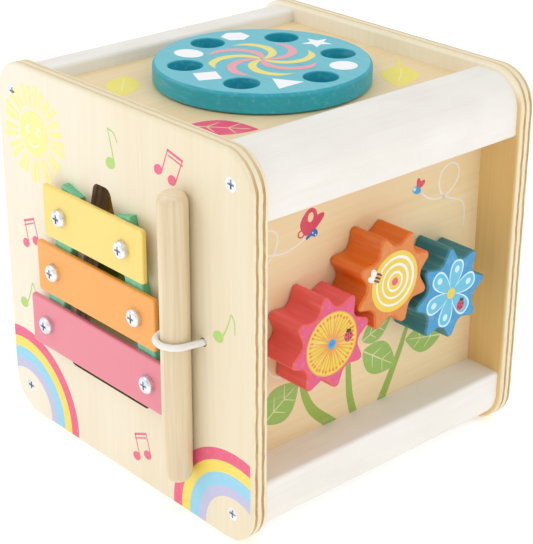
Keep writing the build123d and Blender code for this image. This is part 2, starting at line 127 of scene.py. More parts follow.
class Shader:
    """A material under construction. Each call adds one node and returns its first output."""

    def __init__(self, name):
        self.material = bpy.data.materials.new(name)
        self.material.use_nodes = True
        self.tree = self.material.node_tree
        self.tree.nodes.clear()
        self.coordinates = self.tree.nodes.new("ShaderNodeTexCoord")
        self.place = self.coordinates.outputs["Object"]

    def add(self, kind, inputs, **settings):
        node = self.tree.nodes.new(kind)
        for key, value in settings.items():
            setattr(node, key, value)
        for key, value in inputs.items():
            if isinstance(value, bpy.types.NodeSocket):
                self.tree.links.new(value, node.inputs[key])
            else:
                node.inputs[key].default_value = value
        return node.outputs[0]

    def stretched(self, stretch):
        return self.add("ShaderNodeVectorMath", {0: self.place, 1: stretch}, operation="MULTIPLY")

    def noise(self, stretch, detail=3.0, seed=0.0):
        """Noise from 0 to 1 with that many lumps to the metre along each axis."""
        offset = {0: self.stretched(stretch), 1: (seed, seed, seed)}
        shifted = self.add("ShaderNodeVectorMath", offset, operation="ADD")
        return self.add("ShaderNodeTexNoise", {"Vector": shifted, "Scale": 1.0, "Detail": detail})

    def math(self, operation, a, b=0.0):
        return self.add("ShaderNodeMath", {0: a, 1: b}, operation=operation)

    def between(self, value, low, high, to_low=0.0, to_high=1.0):
        """A value that goes from to_low to to_high while the given one goes from low to high."""
        return self.add(
            "ShaderNodeMapRange",
            {"Value": value, "From Min": low, "From Max": high, "To Min": to_low, "To Max": to_high},
        )

    def ramp(self, value, stops):
        """A colour from stops of (position, colour)."""
        node_out = self.add("ShaderNodeValToRGB", {"Fac": value})
        band = node_out.node.color_ramp
        while len(band.elements) < len(stops):
            band.elements.new(0.5)
        for element, (position, colour) in zip(band.elements, stops):
            element.position = position
            element.color = colour
        return node_out

    def mix(self, share, a, b):
        """Colour a, with that share of colour b."""
        node = self.tree.nodes.new("ShaderNodeMix")
        node.data_type = "RGBA"
        for socket, value in ((node.inputs[0], share), (node.inputs[6], a), (node.inputs[7], b)):
            if isinstance(value, bpy.types.NodeSocket):
                self.tree.links.new(value, socket)
            else:
                socket.default_value = value
        return node.outputs[2]

    def axis(self, vector, name):
        node = self.tree.nodes.new("ShaderNodeSeparateXYZ")
        self.tree.links.new(vector, node.inputs[0])
        return node.outputs[name]

    def facing(self, name, low=0.75, high=0.95):
        """1 where the surface faces either way along that axis at rest, 0 where it doesn't."""
        normal = self.axis(self.coordinates.outputs["Normal"], name)
        return self.between(self.math("ABSOLUTE", normal), low, high)

    def bump(self, height, strength, distance):
        return self.add("ShaderNodeBump", {"Height": height, "Strength": strength, "Distance": distance})

    def finish(self, colour, roughness, normal=None, **shader_values):
        inputs = {"Base Color": colour, "Roughness": roughness}
        inputs.update({key.replace("_", " "): value for key, value in shader_values.items()})
        if normal is not None:
            inputs["Normal"] = normal
        shader = self.add("ShaderNodeBsdfPrincipled", inputs)
        output = self.tree.nodes.new("ShaderNodeOutputMaterial")
        self.tree.links.new(shader, output.inputs["Surface"])
        return self.material


def grain_stretch(grain, along, across):
    """Lumps to the metre: few along the grain, many across it."""
    return tuple(along if axis == grain else across for axis in "XYZ")


# ---- wood -----------------------------------------------------------------------------------------


def veneer(shader, pale, deep, grain, seed):
    """Colour of a planed birch face: broad soft bands, fine streaks and short dark flecks."""
    bands = shader.noise(grain_stretch(grain, 5, 34), 2.0, seed)
    streaks = shader.noise(grain_stretch(grain, 12, 420), 3.0, seed + 7)
    flecks = shader.noise(grain_stretch(grain, 70, 900), 1.0, seed + 13)
    share = shader.math("ADD", shader.math("MULTIPLY", bands, 0.6), shader.math("MULTIPLY", streaks, 0.4))
    base = shader.ramp(share, ((0.28, deep), (0.70, pale)))
    return shader.mix(shader.between(flecks, 0.66, 0.78, 0.0, 0.25), base, deep)


def plywood(name, pale, deep, grain, outer_x, inner_x, dark_walls=None):
    """A birch ply panel: veneered faces, the inner one painted warmer and darker below the top board as
    painted shade, and five layers that show on its edges.

    The outer face is painted paler towards the back as a painted sheen, and the layers are painted paler
    where an edge faces up, as painted light from above.
    The last argument gives the reach in y and in z of a region whose cut walls are coloured dark brown.
    """
    shader = Shader(name)
    face = veneer(shader, pale, deep, grain, outer_x * 100)
    # Painted sheen: the outer face is made paler and whiter towards the back, where the key light falls on
    # it.
    painted_sheen = shader.between(shader.axis(shader.place, "Y"), left_low.y, left_high.y, 0.0, 0.55)
    face = shader.mix(painted_sheen, face, srgb(246, 240, 228))
    # Painted shade: below the top board the inner face is given a warmer, darker wood colour, the shade
    # inside the box.
    shaded_inner_face = veneer(shader, srgb(232, 198, 134), srgb(222, 180, 108), grain, 4.0)
    inward = 1 if inner_x > outer_x else -1
    normal_in = shader.math("MULTIPLY", shader.axis(shader.coordinates.outputs["Normal"], "X"), inward)
    below_board = shader.between(shader.axis(shader.place, "Z"), top_board_high.z, top_board_low.z)
    inner_shade_share = shader.math("MULTIPLY", shader.between(normal_in, 0.3, 0.8), below_board)
    face = shader.mix(inner_shade_share, face, shaded_inner_face)
    light_layer = srgb(236, 226, 192)
    dark_layer = srgb(176, 132, 68)
    wobble = shader.noise((110, 110, 110), 3.0, 3.0)
    depth = shader.between(shader.axis(shader.place, "X"), outer_x, inner_x)
    wavy_depth = shader.math("ADD", depth, shader.between(wobble, 0.3, 0.7, -0.03, 0.03))
    glue_lines = (0.20, 0.35, 0.59, 0.75)
    blur = 0.012
    stops = [(blur, light_layer)]
    for i, line in enumerate(glue_lines):
        stops.append((line - blur, stops[-1][1]))
        stops.append((line + blur, light_layer if i % 2 else dark_layer))
    layers = shader.ramp(wavy_depth, stops)
    fibres = shader.noise((500, 160, 160), 3.0, 9.0)
    layers = shader.mix(shader.between(fibres, 0.45, 0.7, 0.0, 0.35), layers, srgb(222, 196, 144))
    # Painted light from above: the edge layers are made paler where an edge faces up.
    lit_from_above = shader.math("MULTIPLY", shader.facing("Z", 0.2, 0.9), 0.62)
    edge_tone = shader.mix(lit_from_above, layers, srgb(238, 222, 184))
    # Cut walls inside this region are coloured dark brown.
    if dark_walls:
        within = 1.0
        for axis, (low, high) in zip("YZ", dark_walls):
            place = shader.axis(shader.place, axis)
            within = shader.math("MULTIPLY", within, shader.math("GREATER_THAN", place, low))
            within = shader.math("MULTIPLY", within, shader.math("LESS_THAN", place, high))
        dark_wall_tone = shader.ramp(fibres, ((0.35, srgb(70, 38, 14)), (0.65, srgb(134, 86, 42))))
        edge_tone = shader.mix(shader.math("MULTIPLY", within, 0.8), edge_tone, dark_wall_tone)
    colour = shader.mix(shader.facing("X", 0.45, 0.85), edge_tone, face)
    grain_height = shader.noise(grain_stretch(grain, 20, 700), 2.0, 5.0)
    roughness = shader.between(grain_height, 0.3, 0.7, 0.42, 0.55)
    return shader.finish(colour, roughness, shader.bump(grain_height, 0.2, 0.0002), IOR=1.75)


def birch_face(name, pale, deep, grain, seed):
    """A thin board whose edges are hidden in grooves."""
    shader = Shader(name)
    colour = veneer(shader, pale, deep, grain, seed)
    grain_height = shader.noise(grain_stretch(grain, 20, 700), 2.0, seed)
    roughness = shader.between(grain_height, 0.3, 0.7, 0.45, 0.58)
    return shader.finish(colour, roughness, shader.bump(grain_height, 0.25, 0.0002))


def dowel_wood(name, pale, deep, centre):
    """Turned hardwood: grain along Z, growth rings on the ends."""
    shader = Shader(name)
    side = veneer(shader, pale, deep, "Z", 2.0)
    off_centre = (-centre.x - 0.002, -centre.y - 0.001, 0)
    moved = shader.add("ShaderNodeVectorMath", {0: shader.place, 1: off_centre}, operation="ADD")
    flat = shader.add("ShaderNodeVectorMath", {0: moved, 1: (1, 1, 0)}, operation="MULTIPLY")
    distance = shader.tree.nodes.new("ShaderNodeVectorMath")
    distance.operation = "LENGTH"
    shader.tree.links.new(flat, distance.inputs[0])
    waver = shader.between(shader.noise((90, 90, 90)), 0, 1, 0, 0.002)
    uneven = shader.math("ADD", distance.outputs["Value"], waver)
    ring = shader.math("SINE", shader.math("MULTIPLY", uneven, 4200))
    ends = shader.mix(shader.between(ring, -1, 1, 0.0, 0.25), srgb(236, 220, 188), srgb(206, 176, 128))
    colour = shader.mix(shader.facing("Z", 0.5, 0.9), side, ends)
    grain_height = shader.noise((600, 600, 18), 2.0, 1.0)
    return shader.finish(colour, 0.38, shader.bump(grain_height, 0.2, 0.0002), IOR=1.8)


# ---- paint, metal and cloth -----------------------------------------------------------------------


def brushed_paint(shader, colour, share=0.12):
    """Paint whose colour drifts a little, a touch darker where it lies thick."""
    drift = shader.noise((45, 45, 45), 3.0, 4.0)
    return shader.mix(shader.between(drift, 0.3, 0.75, 0.0, share * 2), colour, scaled(colour, 0.8))


def painted(name, colour, grain="X", roughness=0.42, sides=None, face_axis="Y", grain_strength=0.3):
    """Painted wood, its grain faint under the paint: pale streaks and dark pores.

    sides is another colour, for all but the two faces along face_axis.
    """
    shader = Shader(name)
    tone = brushed_paint(shader, colour)
    if sides:
        tone = shader.mix(shader.facing(face_axis, 0.9, 0.96), brushed_paint(shader, sides, 0.2), tone)
    grain_height = shader.noise(grain_stretch(grain, 25, 480), 3.0, 6.0)
    tone = shader.mix(shader.between(grain_height, 0.55, 0.8, 0.0, 0.12), tone, srgb(250, 244, 232))
    pores = scaled(sides or colour, 0.55)
    tone = shader.mix(shader.between(grain_height, 0.28, 0.44, 0.22, 0.0), tone, pores)
    gloss = shader.between(grain_height, 0.3, 0.7, roughness - 0.06, roughness + 0.08)
    return shader.finish(tone, gloss, shader.bump(grain_height, grain_strength, 0.00025))


def white_rail_paint(name):
    shader = Shader(name)
    grain_height = shader.noise((14, 380, 380), 4.0, 2.0)
    soft = shader.noise((30, 60, 60), 2.0, 11.0)
    tone = shader.mix(shader.between(soft, 0.3, 0.7), srgb(240, 237, 231), srgb(234, 230, 222))
    tone = shader.mix(shader.between(grain_height, 0.56, 0.74, 0.0, 0.2), tone, srgb(224, 214, 200))
    return shader.finish(tone, 0.5, shader.bump(grain_height, 0.2, 0.0003))


def enamel(name, colour):
    """Smooth gloss enamel on a metal bar, with a slight orange peel."""
    shader = Shader(name)
    peel = shader.noise((350, 350, 350), 2.0, 1.0)
    tone = brushed_paint(shader, colour, 0.05)
    gloss = shader.between(peel, 0.3, 0.7, 0.29, 0.33)
    return shader.finish(tone, gloss, shader.bump(peel, 0.01, 0.0001), Coat_Weight=0.3, Coat_Roughness=0.2)


def steel(name):
    """Bright zinc-plated steel with fine turning marks."""
    shader = Shader(name)
    marks = shader.noise((2200, 2200, 2200), 2.0, 1.0)
    cloud = shader.noise((260, 260, 260), 2.0, 8.0)
    tone = shader.mix(shader.between(cloud, 0.3, 0.7), srgb(244, 245, 247), srgb(208, 212, 218))
    gloss = shader.between(marks, 0.3, 0.7, 0.2, 0.36)
    return shader.finish(tone, gloss, shader.bump(marks, 0.15, 0.00005), Metallic=1.0)


def woven_elastic(name):
    """A tight braided cover: fine raised cells all over, with painted shade in the gaps between them."""
    shader = Shader(name)
    cells = shader.add("ShaderNodeTexVoronoi", {"Vector": shader.place, "Scale": 2600.0})
    # Painted shade: the colour darkens towards the gaps between the cells.
    tone = shader.ramp(cells, ((0.0, srgb(250, 249, 247)), (0.9, srgb(226, 223, 216))))
    height = shader.between(cells, 0.0, 0.9, 1.0, 0.0)
    return shader.finish(tone, 0.8, shader.bump(height, 0.35, 0.0001), Sheen_Weight=0.3)


def felt(name, colour):
    shader = Shader(name)
    fuzz = shader.noise((1600, 1600, 1600), 4.0, 1.0)
    tone = shader.mix(shader.between(fuzz, 0.35, 0.65), colour, scaled(colour, 0.6))
    return shader.finish(tone, 0.95, shader.bump(fuzz, 0.8, 0.0004), Sheen_Weight=0.4)


def ink(name, colour, texture="X"):
    """Printed ink, thin enough for the grain to show as fine pale streaks."""
    shader = Shader(name)
    streaks = shader.noise(grain_stretch(texture, 30, 700), 3.0, 3.0)
    mottle = shader.noise((120, 120, 120), 2.0, 9.0)
    paler = tuple(c + (0.85 - c) * 0.5 for c in colour[:3]) + (1.0,)
    tone = shader.mix(shader.between(streaks, 0.52, 0.74, 0.0, 0.22), colour, paler)
    tone = shader.mix(shader.between(mottle, 0.35, 0.7, 0.0, 0.08), tone, paler)
    return shader.finish(tone, 0.5, shader.bump(streaks, 0.15, 0.0001))


# ---- outlines to print, in millimetres -------------------------------------------------------------


def arc(x, y, radius, start, end, steps=20):
    """Points along part of a circle, angles in degrees, counter-clockwise from +x."""
    turns = [radians(start + (end - start) * i / steps) for i in range(steps + 1)]
    return [(x + radius * cos(t), y + radius * sin(t)) for t in turns]


def oval(x, y, half_width, half_height=None, tilt=0.0, steps=40):
    half_height = half_height or half_width
    c, s = cos(radians(tilt)), sin(radians(tilt))
    points = []
    for i in range(steps):
        a, b = half_width * cos(2 * pi * i / steps), half_height * sin(2 * pi * i / steps)
        points.append((x + a * c - b * s, y + a * s + b * c))
    return points


def regular(x, y, reaches, first):
    """A polygon with one corner for each reach, the first corner at that angle."""
    step = 2 * pi / len(reaches)
    return [
        (x + r * cos(radians(first) + i * step), y + r * sin(radians(first) + i * step))
        for i, r in enumerate(reaches)
    ]


def turned(outline, degrees):
    """An outline turned counter-clockwise about the origin."""
    c, s = cos(radians(degrees)), sin(radians(degrees))
    return [(x * c - y * s, x * s + y * c) for x, y in outline]


def rounded(points, closed=True, steps=6):
    """A smooth line through given points."""
    count = len(points)
    line = []
    for i in range(count if closed else count - 1):
        if closed:
            p = [points[(i + k) % count] for k in (-1, 0, 1, 2)]
        else:
            p = [points[min(max(i + k, 0), count - 1)] for k in (-1, 0, 1, 2)]
        for j in range(steps):
            t = j / steps
            weights = (
                -0.5 * t + t * t - 0.5 * t ** 3,
                1 - 2.5 * t * t + 1.5 * t ** 3,
                0.5 * t + 2 * t * t - 1.5 * t ** 3,
                -0.5 * t * t + 0.5 * t ** 3,
            )
            line.append(tuple(sum(w * q[k] for w, q in zip(weights, p)) for k in (0, 1)))
    return line if closed else line + [points[-1]]


def ribbon(line, width_at):
    """The outline of a stroke along a line. width_at gives its width, 0 being the start and 1 the end."""
    left, right = [], []
    last = len(line) - 1
    for i, (x, y) in enumerate(line):
        before, after = line[max(i - 1, 0)], line[min(i + 1, last)]
        dx, dy = after[0] - before[0], after[1] - before[1]
        half = width_at(i / last) / 2 / hypot(dx, dy)
        left.append((x - dy * half, y + dx * half))
        right.append((x + dy * half, y - dx * half))
    return left + right[::-1]


def stroke(points, width, end_width=None, steps=6):
    end_width = width if end_width is None else end_width
    return [ribbon(rounded(points, False, steps), lambda t: width + (end_width - width) * t)]


def leaf(tip, base, width, belly=0.62, steps=18):
    """A leaf, pointed at its tip and round at its base. belly is where it is widest."""
    (x0, y0), (x1, y1) = tip, base
    length = hypot(x1 - x0, y1 - y0)
    ux, uy = (x1 - x0) / length, (y1 - y0) / length
    power = log(0.5) / log(belly)
    sides = []
    for side in (1, -1):
        edge = []
        for i in range(steps + 1):
            t = (1 - cos(pi * i / steps)) / 2
            half = side * width / 2 * sin(pi * t ** power) ** 0.75 if 0 < i < steps else 0.0
            edge.append((x0 + ux * length * t - uy * half, y0 + uy * length * t + ux * half))
        sides.append(edge)
    return sides[0] + sides[1][-2:0:-1]


def veins(tip, base, reach, pairs=2, width=0.7):
    """The midrib of a leaf and a few side veins."""
    (x0, y0), (x1, y1) = tip, base
    dx, dy = x1 - x0, y1 - y0
    length = hypot(dx, dy)
    ux, uy = dx / length, dy / length
    middle, end = ((x0 + x1) / 2, (y0 + y1) / 2), (x0 + dx * 0.12, y0 + dy * 0.12)
    shapes = [stroke([base, middle, end], width, width * 0.5)]
    for i in range(pairs):
        t = 0.72 - 0.3 * i
        for side in (1, -1):
            a, b = x0 + dx * t, y0 + dy * t
            end = (a - ux * reach * 0.7 - uy * reach * side, b - uy * reach * 0.7 + ux * reach * side)
            middle = ((a + end[0]) / 2, (b + end[1]) / 2)
            shapes.append(stroke([(a, b), middle, end], width * 0.8, width * 0.4, 3))
    return shapes


def clipped(outline, window):
    """The part of an outline that lies inside a convex, counter-clockwise window."""
    for i, (ax, ay) in enumerate(window):
        bx, by = window[(i + 1) % len(window)]
        kept = []
        for j, (px, py) in enumerate(outline):
            qx, qy = outline[j - 1]
            side_p = (bx - ax) * (py - ay) - (by - ay) * (px - ax)
            side_q = (bx - ax) * (qy - ay) - (by - ay) * (qx - ax)
            if (side_p >= 0) != (side_q >= 0):
                t = side_q / (side_q - side_p)
                kept.append((qx + t * (px - qx), qy + t * (py - qy)))
            if side_p >= 0:
                kept.append((px, py))
        outline = kept
    return outline


def rounded_window(x0, y0, x1, y1, radius):
    corners = ((x1, y0, -90), (x1, y1, 0), (x0, y1, 90), (x0, y0, 180))
    points = []
    for x, y, start in corners:
        cx = x - radius if x == x1 else x + radius
        cy = y - radius if y == y1 else y + radius
        points += arc(cx, cy, radius, start, start + 90, 10)
    return points


# ---- ink on a face --------------------------------------------------------------------------------

ink_sunk = 0.02                 # mm below the surface
ink_height = 0.05               # mm above it
ink_step = 0.04                 # mm that each next layer stands higher
overlap_step = 0.012            # mm between shapes of one layer that may cross


def face(origin, across, up):
    """A flat face to print on: millimetres along across and up become places in the frame."""
    across, up = Vector(across), Vector(up)
    place = Matrix((across, up, across.cross(up))).transposed().to_4x4()
    place.translation = origin
    return place @ Matrix.Scale(MM, 4)


def printed(name, body, ink_name, plane, shapes, layer=0):
    """Ink as thin closed solids. A shape is a list of outlines: its rim, then any holes."""
    mesh = bmesh.new()
    for i, outlines in enumerate(shapes):
        top = ink_height + layer * ink_step + i % 3 * overlap_step
        rings = [[Vector((x, y, 0)) for x, y in ring] for ring in outlines]
        flat = [p for ring in rings for p in ring]
        low = [mesh.verts.new(plane @ Vector((p.x, p.y, -ink_sunk))) for p in flat]
        high = [mesh.verts.new(plane @ Vector((p.x, p.y, top))) for p in flat]
        for a, b, c in tessellate_polygon(rings):
            mesh.faces.new((high[a], high[b], high[c]))
            mesh.faces.new((low[c], low[b], low[a]))
        start = 0
        for ring in rings:
            for k in range(len(ring)):
                a, b = start + k, start + (k + 1) % len(ring)
                mesh.faces.new((low[a], low[b], high[b], high[a]))
            start += len(ring)
    bmesh.ops.recalc_face_normals(mesh, faces=mesh.faces)
    data = bpy.data.meshes.new(name)
    mesh.to_mesh(data)
    mesh.free()
    data.materials.append(inks[ink_name])
    piece = bpy.data.objects.new(name, data)
    bpy.context.scene.collection.objects.link(piece)
    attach(piece, body)
    return piece


# ---- pictures -------------------------------------------------------------------------------------

panel_corner_r = 20.0
panel_edge_round = 1.6          # prints stop where the panel's edge begins to turn
panel_window = rounded_window(
    left_low.y / MM + panel_edge_round,
    left_low.z / MM + panel_edge_round,
    left_high.y / MM - panel_edge_round,
    left_high.z / MM - panel_edge_round,
    panel_corner_r - panel_edge_round,
)
rainbow_centres = ((86, 3), (-87, 3.5))
sun_x, sun_y = -67, 166


def rainbow_band(centre_x, centre_y, outer, inner):
    """One band of a rainbow that rises from the panel's lower edge, cut off at the panel's outline."""
    ring = arc(centre_x, centre_y, outer, -40, 220, 90) + arc(centre_x, centre_y, inner, 220, -40, 90)
    return [clipped(ring, panel_window)]


def rainbows(name, plane):
    """Two rainbows at the lower corners of a side panel."""
    bands = (
        ("pink", "pink_paint", 46.3, 40.0),
        ("yellow", "yellow_paint", 40.0, 33.8),
        ("sky", "blue_paint", 33.8, 27.0),
        ("lavender", "white_paint", 27.0, 21.5),
    )
    for colour, slot, outer, inner in bands:
        shapes = [rainbow_band(*centre, outer, inner) for centre in rainbow_centres]
        printed(f"{name}_rainbow_{colour}", "cube", f"{colour}_band", plane, shapes)


def sun_rays(x, y):
    """Blunt rays that widen outwards, each a little off its place and length."""
    shapes = []
    ray_count = 26
    for i in range(ray_count):
        turn = 360 * i / ray_count + 2.5 * sin(3.1 * i)
        near, far = 14.2 + 0.5 * sin(5 * i), 25.2 + 0.9 * sin(2.3 * i + 1)
        a, b = (cos(radians(turn)), sin(radians(turn)))
        corners = [
            (near, -0.75), (near + 0.4, -0.95), (far - 0.5, -1.75), (far, -1.4),
            (far + 0.2, 0.0), (far, 1.4), (far - 0.5, 1.75), (near + 0.4, 0.95), (near, 0.75),
        ]
        shapes.append([[(x + p * a - q * b, y + p * b + q * a) for p, q in corners]])
    return shapes


def sun_face(x, y):
    """Two open eyes and a smile, as plain as a nursery drawing."""
    shapes = []
    for side in (-1, 1):
        eye = (x + side * 4.6, y + 1.8)
        shapes.append([oval(*eye, 1.9, 2.5), oval(eye[0] + 0.6, eye[1] - 0.4, 1.0, 1.4)[::-1]])
    shapes.append(stroke(arc(x, y - 1.5, 5.2, 215, 325, 8), 0.8, 0.8, 2))
    return shapes


def quaver(x, y, stem_x, stem_y, flag_x, flag_y):
    """A single note: head, stem and one flag."""
    stem_middle = ((x + 3.0 + stem_x) / 2 + 0.3, (y + stem_y) / 2)
    flag_middle = ((stem_x + flag_x) / 2 + 1.0, (stem_y + flag_y) / 2 + 1.6)
    return [
        [oval(x, y, 3.7, 3.0, 15)],
        stroke([(x + 3.0, y + 1.0), stem_middle, (stem_x, stem_y)], 0.9, 0.7),
        stroke([(stem_x, stem_y), flag_middle, (flag_x, flag_y)], 1.0, 0.5),
    ]


def beamed_pair(first, second, first_top, second_top):
    """Two notes joined by a double beam."""
    shapes = []
    side = 2.7
    for (x, y), top in ((first, first_top), (second, second_top)):
        middle = ((x + side + top[0]) / 2, (y + top[1]) / 2)
        shapes.append([oval(x, y, 3.1, 2.5, 20)])
        shapes.append(stroke([(x + side, y), middle, top], 0.7, 0.7, 2))
    (ax, ay), (bx, by) = first_top, second_top
    for drop, thick in ((0.0, 1.3), (2.6, 0.8)):
        under = drop + thick
        shapes.append([[(ax, ay - drop), (ax, ay - under), (bx, by - under), (bx, by - drop)]])
    return shapes


def left_panel_prints():
    plane = face((left_low.x, 0, 0), (0, -1, 0), (0, 0, 1))
    sun = [[oval(sun_x, sun_y, 12.1)]] + sun_rays(sun_x, sun_y)
    printed("sun_print", "cube", "sun", plane, sun)
    printed("sun_face_print", "cube", "pale_line", plane, sun_face(sun_x, sun_y), 1)
    rainbows("left", plane)
    green = quaver(-3, 169, -4.3, 186, 3, 180.5) + quaver(75, 107, 84, 121.5, 86.5, 112)
    green += quaver(-85.5, 66, -77, 80, -74.5, 72)
    printed("left_green_notes", "cube", "note_green", plane, green)
    pink = beamed_pair((33.5, 176.5), (43.5, 174), (41, 188.5), (51.5, 186))
    pink += beamed_pair((-80, 102.5), (-71, 106.5), (-80.5, 115.5), (-72, 119))
    pink += beamed_pair((10, 14), (19, 18.5), (9, 27), (18, 31))
    printed("left_pink_notes", "cube", "note_pink", plane, pink)


def right_panel_prints():
    """The far side: the same rainbows, with a line of leaves and notes above them."""
    plane = face((right_high.x, 0, 0), (0, 1, 0), (0, 0, 1))
    rainbows("right", plane)
    places = ((-58, 118, 62), (-30, 140, 40), (2, 150, 8), (34, 140, -30), (61, 118, -55))
    leaves, ribs = [], []
    for x, y, turn in places:
        dx, dy = 13 * sin(radians(-turn)), 13 * cos(radians(turn))
        tip, base = (x + dx, y + dy), (x - dx, y - dy)
        leaves.append([leaf(tip, base, 17, 0.6)])
        ribs += veins(tip, base, 6)
    printed("right_leaves", "cube", "leaf_green", plane, leaves)
    printed("right_leaf_veins", "cube", "leaf_vein", plane, ribs, 1)
    green = quaver(-68, 160, -62, 176, -57, 170) + quaver(60, 158, 64.5, 174, 70, 168)
    printed("right_green_notes", "cube", "note_green", plane, green)
    pink = beamed_pair((-6, 96), (5, 99), (-2.5, 110), (8.5, 113))
    printed("right_pink_notes", "cube", "note_pink", plane, pink)


def disc_prints():
    """Six white shapes between the finger holes, and a swirl of eight arms in two colours."""
    centre = ((disc_low.x + disc_high.x) / 2, (disc_low.y + disc_high.y) / 2, disc_high.z)
    plane = face(centre, (1, 0, 0), (0, 1, 0))
    shapes = [
        [regular(40.2, 3.0, [8.3, 3.6] * 5, 10)],
        [regular(15.7, 38.9, [7.6] * 6, 86)],
        [oval(-21.6, 31.6, 6.4, 8.0, 12)],
        [regular(-38.2, -2.8, [8.2] * 4, 20)],
        [regular(-17.2, -35.4, [9.2] * 3, 90)],
        [oval(23.2, -34.0, 7.0)],
    ]
    printed("disc_shapes_print", "disc", "white", plane, shapes)
    root, tip = (0.3, 0.9), (3.6, 27.7)
    outer_side = [root, (4.4, -0.7), (10.6, 1.4), (15.0, 7.0), (16.7, 14.5), (12.8, 24.4), tip]
    inner_side = [tip, (8.7, 23.2), (11.8, 17.5), (12.0, 12.5), (10.2, 7.0), (5.0, 2.5), root]
    arm = rounded(outer_side, False)[:-1] + rounded(inner_side, False)[:-1]
    arms = [[turned(arm, 45 * i)] for i in range(8)]
    printed("disc_yellow_swirl", "disc", "swirl_yellow", plane, arms[0::2])
    printed("disc_pink_swirl", "disc", "swirl_pink", plane, arms[1::2], 1)


def gear_plane(node):
    low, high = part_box(node)
    return face(((low.x + high.x) / 2, low.y, (low.z + high.z) / 2), (1, 0, 0), (0, 0, 1))


def ladybird(name, body, plane, x, y, turn):
    """A ladybird seen from above: wing cases, head and spots."""
    c, s = cos(radians(turn)), sin(radians(turn))

    def at(a, b):
        return x + a * c - b * s, y + a * s + b * c

    printed(f"{name}_wings", body, "ladybird_red", plane, [[oval(*at(0, 0), 3.0, 2.8, turn)]], 2)
    marks = [[oval(*at(2.9, 0), 0.9, 1.6, turn)]]
    marks += [[oval(*at(a, b), 0.55)] for a, b in ((0.9, 1.5), (0.9, -1.5), (-1.2, 1.3), (-1.2, -1.3))]
    marks.append(stroke([at(2.6, 0), at(0, 0), at(-2.7, 0)], 0.25, 0.2, 2))
    marks += [stroke([at(3.3, b * 0.5), at(3.9, b), at(4.4, b * 1.4)], 0.25, 0.2, 2) for b in (-1.0, 1.0)]
    printed(f"{name}_marks", body, "dark", plane, marks, 3)


def pink_gear_prints():
    """A yellow flower face with fine rays, a curl in its middle and a ladybird."""
    plane, body = gear_plane("pink_gear"), "pink_gear"
    printed("pink_gear_face", body, "gear_yellow", plane, [[oval(0, 0, 16.4, steps=64)]])
    lines = [[oval(0, 0, 16.6, steps=64), oval(0, 0, 16.0, steps=64)[::-1]]]
    heads = []
    ray_count = 38
    for i in range(ray_count):
        turn = 360 * (i + 0.1 * sin(2.7 * i)) / ray_count
        reach = 14.0 + 0.3 * sin(4 * i)
        bow = 0.4 * sin(1.9 * i)
        lines.append([turned(ribbon([(2.0, 0), (8.0, bow), (reach, 0)], lambda t: 0.62 - 0.22 * t), turn)])
        heads.append([turned(oval(reach, 0, 0.9, 0.62, steps=12), turn)])
    printed("pink_gear_rays", body, "ray_orange", plane, lines, 1)
    printed("pink_gear_ray_heads", body, "ray_head", plane, heads, 2)
    printed("pink_gear_middle", body, "hub_blue", plane, [[oval(0, 0, 2.6)]], 2)
    curl = [(1.6 * (1 - i / 14) * cos(i * 0.7), 1.6 * (1 - i / 14) * sin(i * 0.7)) for i in range(13)]
    printed("pink_gear_curl", body, "dark_blue", plane, [stroke(curl, 0.35, 0.3, 2)], 3)
    ladybird("pink_gear_ladybird", body, plane, 10.8, 0.6, 88)


def orange_gear_prints():
    """White rings on yellow, and a bee."""
    plane, body = gear_plane("orange_gear"), "orange_gear"
    printed("orange_gear_face", body, "gear_yellow", plane, [[oval(0, 0, 15.7, steps=64)]])
    rings = [
        [oval(0.2, 0.2, r + 0.65, steps=56), oval(-0.1, 0.1, r - 0.6, steps=56)[::-1]] for r in (12.4, 8.6)
    ]
    rings.append([oval(0, 0, 5.4), oval(0, 0, 4.2)[::-1]])
    printed("orange_gear_rings", body, "ring_white", plane, rings, 1)
    printed("orange_gear_middle", body, "gear_pink", plane, [[oval(0, 0, 2.1)]], 1)
    wings = [[oval(-14.6, 8.2, 2.9, 1.8, 118)], [oval(-15.9, 5.8, 2.8, 1.7, 155)]]
    printed("bee_wings", body, "ring_white", plane, wings, 2)
    printed("bee_body", body, "bee_gold", plane, [[oval(-12.0, 5.4, 2.9, 1.9, 60)]], 3)
    stripes = [stroke([(x - 1.7, y + 0.9), (x, y + 0.2), (x + 1.7, y - 0.9)], 0.95, 0.8, 3)
               for x, y in ((-12.9, 3.9), (-12.1, 5.4), (-11.2, 7.0))]
    printed("bee_stripes", body, "dark", plane, stripes, 4)


def petal(turn, reach, width):
    """A rounded petal that starts in a point near the centre."""
    points = []
    for t in range(25):
        a = pi * t / 24
        along = reach * (1 - cos(a)) / 2
        half = width / 2 * sin(a) ** 0.8 * (along / reach) ** 0.55 if 0 < t < 24 else 0.0
        points.append((along, half))
    return turned(points + [(p, -q) for p, q in points[-2:0:-1]], turn)


def blue_gear_prints():
    """Six petals, five of them spotted, and a ladybird on the sixth."""
    plane, body = gear_plane("blue_gear"), "blue_gear"
    turns = [14 + 60 * i for i in range(6)]
    outer_petals, inner_petals = ([[petal(t, *size)] for t in turns] for size in ((18.1, 12.8), (17.1, 10.4)))
    printed("petal_outlines", body, "petal_edge", plane, outer_petals)
    printed("petals", body, "petal_blue", plane, inner_petals, 1)
    spots = [[oval(12.9 * cos(radians(t)), 12.9 * sin(radians(t)), 1.9, 1.7, t)] for t in turns[:5]]
    printed("petal_spots", body, "petal_edge", plane, spots, 2)
    printed("flower_middle", body, "gear_yellow", plane, [[oval(0, 0, 2.9)]], 2)
    ladybird("blue_gear_ladybird", body, plane, 7.6, -8.8, 75)


